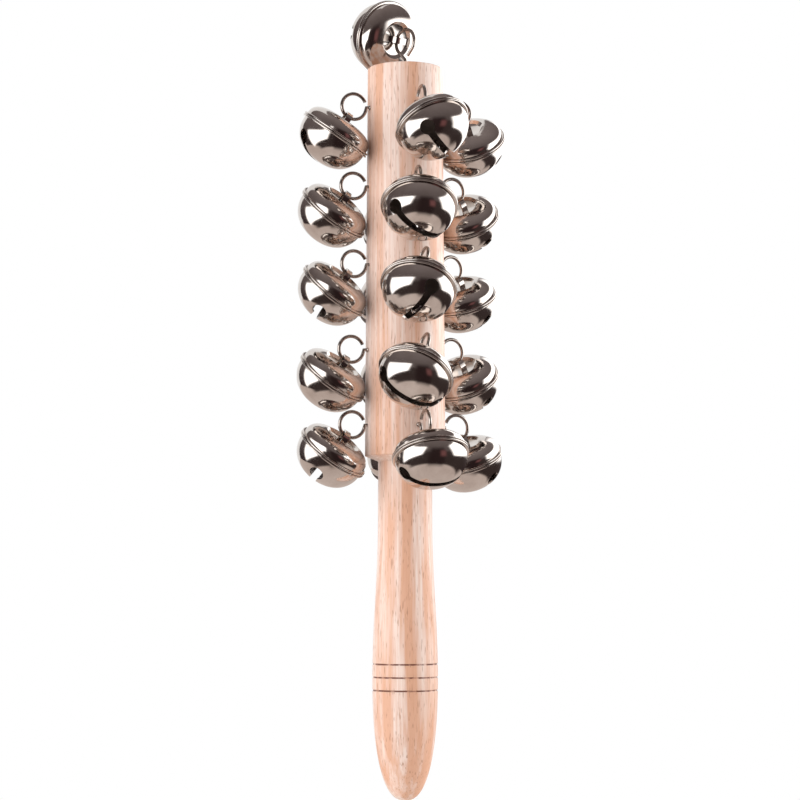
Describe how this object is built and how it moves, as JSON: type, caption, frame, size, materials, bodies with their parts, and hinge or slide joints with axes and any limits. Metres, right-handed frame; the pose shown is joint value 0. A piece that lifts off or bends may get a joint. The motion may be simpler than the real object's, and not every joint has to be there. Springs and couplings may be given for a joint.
{
  "type": "jingle bell stick",
  "caption": "Hand-held jingle stick: turned wooden handle and barrel with rows of slotted chrome bells hung on screw eyes round the barrel and on its top.",
  "frame": {"origin": "on the stick's axis, at the middle of the handle's length, where a hand holds it", "axes": "+Z along the stick from the handle to the barrel; -Y is the side of the front column of bells, +X the right column, +Y the rear column and -X the left column"},
  "size_m": [0.0699, 0.0699, 0.2597],
  "materials": {
    "wood": "satin varnish over pale pinkish beech",
    "bell_shell": "bright nickel plate",
    "eye_wire": "bright plated wire",
    "ball": "plain steel"
  },
  "bodies": {
    "stick": {"stick": "wood", "eye_front_1": "eye_wire", "eye_front_2": "eye_wire", "eye_front_3": "eye_wire", "eye_front_4": "eye_wire", "eye_front_5": "eye_wire", "eye_right_1": "eye_wire", "eye_right_2": "eye_wire", "eye_right_3": "eye_wire", "eye_right_4": "eye_wire", "eye_right_5": "eye_wire", "eye_rear_1": "eye_wire", "eye_rear_2": "eye_wire", "eye_rear_3": "eye_wire", "eye_rear_4": "eye_wire", "eye_rear_5": "eye_wire", "eye_left_1": "eye_wire", "eye_left_2": "eye_wire", "eye_left_3": "eye_wire", "eye_left_4": "eye_wire", "eye_left_5": "eye_wire", "eye_top": "eye_wire"},
    "bell_front_1": {"bell_front_1": "bell_shell"},
    "bell_front_2": {"bell_front_2": "bell_shell"},
    "bell_front_3": {"bell_front_3": "bell_shell"},
    "bell_front_4": {"bell_front_4": "bell_shell"},
    "bell_front_5": {"bell_front_5": "bell_shell"},
    "bell_right_1": {"bell_right_1": "bell_shell"},
    "bell_right_2": {"bell_right_2": "bell_shell"},
    "bell_right_3": {"bell_right_3": "bell_shell"},
    "bell_right_4": {"bell_right_4": "bell_shell"},
    "bell_right_5": {"bell_right_5": "bell_shell"},
    "bell_rear_1": {"bell_rear_1": "bell_shell"},
    "bell_rear_2": {"bell_rear_2": "bell_shell"},
    "bell_rear_3": {"bell_rear_3": "bell_shell"},
    "bell_rear_4": {"bell_rear_4": "bell_shell"},
    "bell_rear_5": {"bell_rear_5": "bell_shell"},
    "bell_left_1": {"bell_left_1": "bell_shell"},
    "bell_left_2": {"bell_left_2": "bell_shell"},
    "bell_left_3": {"bell_left_3": "bell_shell"},
    "bell_left_4": {"bell_left_4": "bell_shell"},
    "bell_left_5": {"bell_left_5": "bell_shell"},
    "bell_top": {"bell_top": "bell_shell"},
    "ball_front_1": {"ball_front_1": "ball"},
    "ball_front_2": {"ball_front_2": "ball"},
    "ball_front_3": {"ball_front_3": "ball"},
    "ball_front_4": {"ball_front_4": "ball"},
    "ball_front_5": {"ball_front_5": "ball"},
    "ball_right_1": {"ball_right_1": "ball"},
    "ball_right_2": {"ball_right_2": "ball"},
    "ball_right_3": {"ball_right_3": "ball"},
    "ball_right_4": {"ball_right_4": "ball"},
    "ball_right_5": {"ball_right_5": "ball"},
    "ball_rear_5": {"ball_rear_5": "ball"},
    "ball_left_1": {"ball_left_1": "ball"},
    "ball_left_2": {"ball_left_2": "ball"},
    "ball_left_3": {"ball_left_3": "ball"},
    "ball_left_4": {"ball_left_4": "ball"},
    "ball_left_5": {"ball_left_5": "ball"},
    "ball_top": {"ball_top": "ball"}
  },
  "joints": [
    {"name": "swing_front_1", "type": "hinge", "parent": "stick", "child": "bell_front_1", "pos_m": [-0.00155, -0.01776, 0.16785], "axis": [-0.9962, 0.0872, 0], "range_deg": [0, 95]},
    {"name": "swing_front_2", "type": "hinge", "parent": "stick", "child": "bell_front_2", "pos_m": [-0.0026, -0.01739, 0.14185], "axis": [-0.989, 0.1478, 0], "range_deg": [0, 30]},
    {"name": "swing_front_3", "type": "hinge", "parent": "stick", "child": "bell_front_3", "pos_m": [-0.00127, -0.01819, 0.11595], "axis": [-0.9636, 0.0674, 0.2588], "range_deg": [0, 30]},
    {"name": "swing_front_4", "type": "hinge", "parent": "stick", "child": "bell_front_4", "pos_m": [-0.00133, -0.01895, 0.08845], "axis": [-0.9636, 0.0674, 0.2588], "range_deg": [0, 30]},
    {"name": "swing_front_5", "type": "hinge", "parent": "stick", "child": "bell_front_5", "pos_m": [-0.00065, -0.01873, 0.06415], "axis": [-0.9994, 0.0349, 0], "range_deg": [0, 30]},
    {"name": "swing_right_1", "type": "hinge", "parent": "stick", "child": "bell_right_1", "pos_m": [0.01841, -0.00097, 0.16765], "axis": [-0.0523, -0.9986, 0], "range_deg": [0, 95]},
    {"name": "swing_right_2", "type": "hinge", "parent": "stick", "child": "bell_right_2", "pos_m": [0.01757, 0.002, 0.14235], "axis": [0.1132, -0.9936, 0], "range_deg": [0, 30]},
    {"name": "swing_right_3", "type": "hinge", "parent": "stick", "child": "bell_right_3", "pos_m": [0.01818, 0.00453, 0.11695], "axis": [0.2419, -0.9703, 0], "range_deg": [0, 30]},
    {"name": "swing_right_4", "type": "hinge", "parent": "stick", "child": "bell_right_4", "pos_m": [0.01762, 0.00311, 0.08945], "axis": [0.1736, -0.9848, 0], "range_deg": [0, 30]},
    {"name": "swing_right_5", "type": "hinge", "parent": "stick", "child": "bell_right_5", "pos_m": [0.01892, 0.00216, 0.06455], "axis": [0.1132, -0.9936, 0], "range_deg": [0, 30]},
    {"name": "swing_rear_1", "type": "hinge", "parent": "stick", "child": "bell_rear_1", "pos_m": [0.00091, 0.01741, 0.16755], "axis": [0.9986, -0.0523, 0], "range_deg": [0, 95]},
    {"name": "swing_rear_2", "type": "hinge", "parent": "stick", "child": "bell_rear_2", "pos_m": [-0.00031, 0.01758, 0.14195], "axis": [0.9998, 0.0175, 0], "range_deg": [0, 28]},
    {"name": "swing_rear_3", "type": "hinge", "parent": "stick", "child": "bell_rear_3", "pos_m": [-0.00124, 0.01769, 0.11635], "axis": [0.9976, 0.0698, 0], "range_deg": [0, 25]},
    {"name": "swing_rear_4", "type": "hinge", "parent": "stick", "child": "bell_rear_4", "pos_m": [-0.00125, 0.01785, 0.08895], "axis": [0.9976, 0.0698, 0], "range_deg": [0, 30]},
    {"name": "swing_rear_5", "type": "hinge", "parent": "stick", "child": "bell_rear_5", "pos_m": [0.00032, 0.01804, 0.06455], "axis": [0.9998, -0.0175, 0], "range_deg": [0, 15]},
    {"name": "swing_left_1", "type": "hinge", "parent": "stick", "child": "bell_left_1", "pos_m": [-0.01783, 0, 0.16755], "axis": [0, 1, 0], "range_deg": [0, 95]},
    {"name": "swing_left_2", "type": "hinge", "parent": "stick", "child": "bell_left_2", "pos_m": [-0.01754, 0.00123, 0.14185], "axis": [0.0698, 0.9976, 0], "range_deg": [0, 30]},
    {"name": "swing_left_3", "type": "hinge", "parent": "stick", "child": "bell_left_3", "pos_m": [-0.01774, 0, 0.11635], "axis": [0, 1, 0], "range_deg": [0, 30]},
    {"name": "swing_left_4", "type": "hinge", "parent": "stick", "child": "bell_left_4", "pos_m": [-0.0185, 0.00032, 0.08875], "axis": [0.0175, 0.9998, 0], "range_deg": [0, 30]},
    {"name": "swing_left_5", "type": "hinge", "parent": "stick", "child": "bell_left_5", "pos_m": [-0.01803, 0.00063, 0.06455], "axis": [0.0349, 0.9994, 0], "range_deg": [0, 28]},
    {"name": "swing_top", "type": "hinge", "parent": "stick", "child": "bell_top", "pos_m": [0, 0, 0.19035], "axis": [0.9239, 0.3827, 0], "range_deg": [0, 143]},
    {"name": "roll_front_1", "type": "hinge", "parent": "bell_front_1", "child": "ball_front_1", "pos_m": [-0.00038, -0.02349, 0.15854], "axis": [-0.9962, 0.0872, 0], "range_deg": [-50, 115]},
    {"name": "roll_front_2", "type": "hinge", "parent": "bell_front_2", "child": "ball_front_2", "pos_m": [-0.00455, -0.02312, 0.13262], "axis": [-0.989, 0.1478, 0], "range_deg": [-50, 115]},
    {"name": "roll_front_3", "type": "hinge", "parent": "bell_front_3", "child": "ball_front_3", "pos_m": [-0.00478, -0.0233, 0.10679], "axis": [-0.9636, 0.0674, 0.2588], "range_deg": [-50, 115]},
    {"name": "roll_front_4", "type": "hinge", "parent": "bell_front_4", "child": "ball_front_4", "pos_m": [-0.00579, -0.02332, 0.07941], "axis": [-0.9636, 0.0674, 0.2588], "range_deg": [-50, 115]},
    {"name": "roll_front_5", "type": "hinge", "parent": "bell_front_5", "child": "ball_front_5", "pos_m": [-0.00081, -0.02325, 0.05404], "axis": [-0.9994, 0.0349, 0], "range_deg": [-50, 115]},
    {"name": "roll_right_1", "type": "hinge", "parent": "bell_right_1", "child": "ball_right_1", "pos_m": [0.02344, 0.00223, 0.15874], "axis": [-0.0523, -0.9986, 0], "range_deg": [-50, 115]},
    {"name": "roll_right_2", "type": "hinge", "parent": "bell_right_2", "child": "ball_right_2", "pos_m": [0.02282, 0.00564, 0.13364], "axis": [0.1132, -0.9936, 0], "range_deg": [-50, 115]},
    {"name": "roll_right_3", "type": "hinge", "parent": "bell_right_3", "child": "ball_right_3", "pos_m": [0.02267, 0.00761, 0.10743], "axis": [0.2419, -0.9703, 0], "range_deg": [-50, 115]},
    {"name": "roll_right_4", "type": "hinge", "parent": "bell_right_4", "child": "ball_right_4", "pos_m": [0.02297, 0.00633, 0.08048], "axis": [0.1736, -0.9848, 0], "range_deg": [-50, 115]},
    {"name": "roll_right_5", "type": "hinge", "parent": "bell_right_5", "child": "ball_right_5", "pos_m": [0.02296, 0.00418, 0.05452], "axis": [0.1132, -0.9936, 0], "range_deg": [-50, 115]},
    {"name": "roll_rear_5", "type": "hinge", "parent": "bell_rear_5", "child": "ball_rear_5", "pos_m": [0.00638, 0.02292, 0.05878], "axis": [0.9998, -0.0175, 0], "range_deg": [-50, 115]},
    {"name": "roll_left_1", "type": "hinge", "parent": "bell_left_1", "child": "ball_left_1", "pos_m": [-0.02337, 0.00219, 0.15838], "axis": [0, 1, 0], "range_deg": [-50, 115]},
    {"name": "roll_left_2", "type": "hinge", "parent": "bell_left_2", "child": "ball_left_2", "pos_m": [-0.02294, 0.00496, 0.13335], "axis": [0.0698, 0.9976, 0], "range_deg": [-50, 115]},
    {"name": "roll_left_3", "type": "hinge", "parent": "bell_left_3", "child": "ball_left_3", "pos_m": [-0.0234, 0.00329, 0.10783], "axis": [0, 1, 0], "range_deg": [-50, 115]},
    {"name": "roll_left_4", "type": "hinge", "parent": "bell_left_4", "child": "ball_left_4", "pos_m": [-0.02365, 0.00371, 0.07994], "axis": [0.0175, 0.9998, 0], "range_deg": [-50, 115]},
    {"name": "roll_left_5", "type": "hinge", "parent": "bell_left_5", "child": "ball_left_5", "pos_m": [-0.02301, 0.00394, 0.05557], "axis": [0.0349, 0.9994, 0], "range_deg": [-50, 115]},
    {"name": "roll_top", "type": "hinge", "parent": "bell_top", "child": "ball_top", "pos_m": [-0.00354, 0.00854, 0.19318], "axis": [0.3659, -0.8834, -0.2927], "continuous": true}
  ]
}
